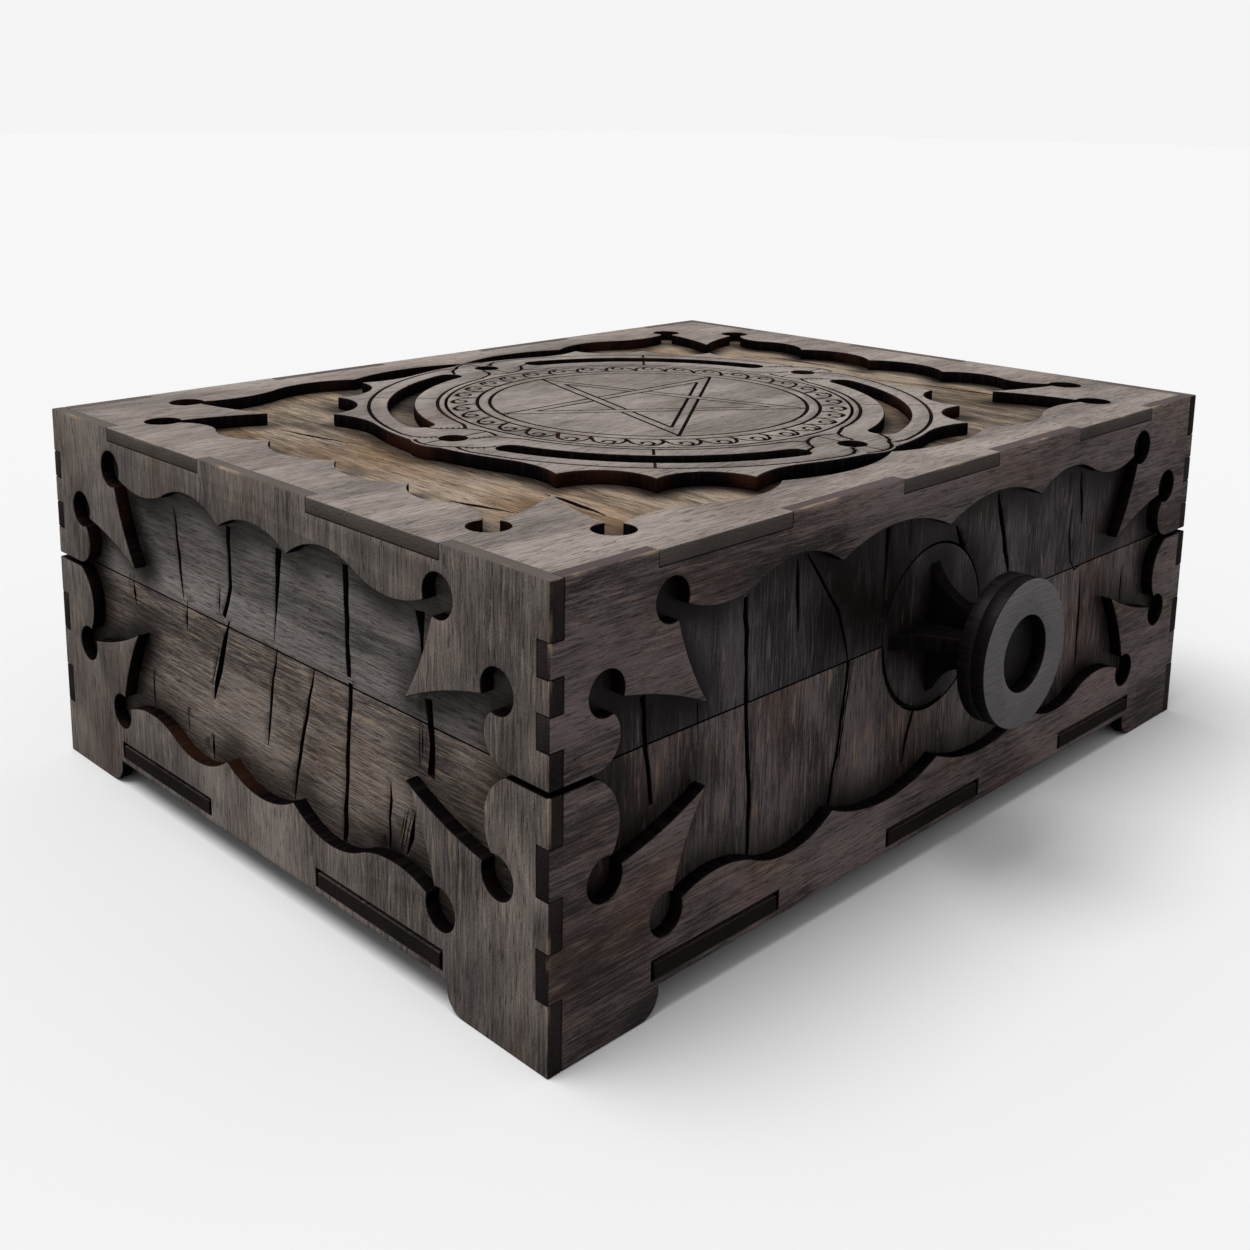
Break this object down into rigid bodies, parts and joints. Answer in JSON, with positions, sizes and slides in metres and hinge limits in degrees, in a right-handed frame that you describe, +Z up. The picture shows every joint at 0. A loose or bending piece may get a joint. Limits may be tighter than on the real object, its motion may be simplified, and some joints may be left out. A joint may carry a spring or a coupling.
{
  "type": "puzzle box",
  "caption": "Rectangular laser-cut plywood puzzle box with fretwork walls, lift-off lid, turning star dial that throws a rack bolt, and a front knob with a hook latch.",
  "frame": {"origin": "middle of the whole object's box on the ground, between the feet", "axes": "+X along the box's width, -Y out of the front wall that carries the knob, +Z up"},
  "size_m": [0.22, 0.1882, 0.084],
  "materials": {
    "frame_ply": "dark grey-brown stain, matt",
    "plank_ply": "dark grey-brown stain, matt",
    "deck_ply": "pale stain, matt",
    "dial_ply": "grey-brown stain, matt",
    "knob_ply": "dark grey-brown stain, matt",
    "dowel": "bare wood",
    "inner_ply": "bare plywood"
  },
  "bodies": {
    "base": {"base_front_frame": "frame_ply", "base_right_frame": "frame_ply", "base_back_frame": "frame_ply", "base_left_frame": "frame_ply", "base_front_panel": "plank_ply", "base_right_panel": "plank_ply", "base_back_panel": "plank_ply", "base_left_panel": "plank_ply", "front_liner": "inner_ply", "right_liner": "inner_ply", "back_liner": "inner_ply", "left_liner": "inner_ply", "floor_panel": "inner_ply", "bolt_strike": "inner_ply"},
    "lid": {"lid_front_frame": "frame_ply", "lid_right_frame": "frame_ply", "lid_back_frame": "frame_ply", "lid_left_frame": "frame_ply", "lid_front_panel": "plank_ply", "lid_right_panel": "plank_ply", "lid_back_panel": "plank_ply", "lid_left_panel": "plank_ply", "deck_panel": "deck_ply", "top_frame": "frame_ply", "dial_ring": "dial_ply", "front_bolt_guide": "inner_ply", "back_bolt_guide": "inner_ply", "lid_peg": "dowel"},
    "dial": {"dial_disc": "dial_ply", "dial_spindle": "dowel", "dial_spacer": "inner_ply", "dial_washer": "inner_ply", "lock_pinion": "inner_ply"},
    "bolt": {"lock_bolt": "inner_ply"},
    "knob": {"knob_front_ring": "knob_ply", "knob_back_disc": "knob_ply", "stem_upright_plate": "knob_ply", "stem_level_plate": "knob_ply", "rose_disc": "knob_ply", "knob_spindle": "dowel", "latch_hook": "inner_ply", "knob_washer": "inner_ply"}
  },
  "joints": [
    {"name": "lid_lift", "type": "slide", "parent": "base", "child": "lid", "axis": [0, 0, 1], "range_m": [0, 0.06]},
    {"name": "dial_turn", "type": "hinge", "parent": "lid", "child": "dial", "pos_m": [0, 0.00915, 0.0825], "axis": [0, 0, 1], "range_deg": [0, 72]},
    {"name": "bolt_slide", "type": "slide", "parent": "lid", "child": "bolt", "axis": [0, 1, 0], "range_m": [0, 0.01131]},
    {"name": "knob_turn", "type": "hinge", "parent": "base", "child": "knob", "pos_m": [0, -0.07585, 0.04915], "axis": [0, -1, 0], "range_deg": [0, 90]}
  ],
  "couplings": [
    {"joint": "bolt_slide", "follows": "dial_turn", "m_per_rad": 0.009}
  ]
}
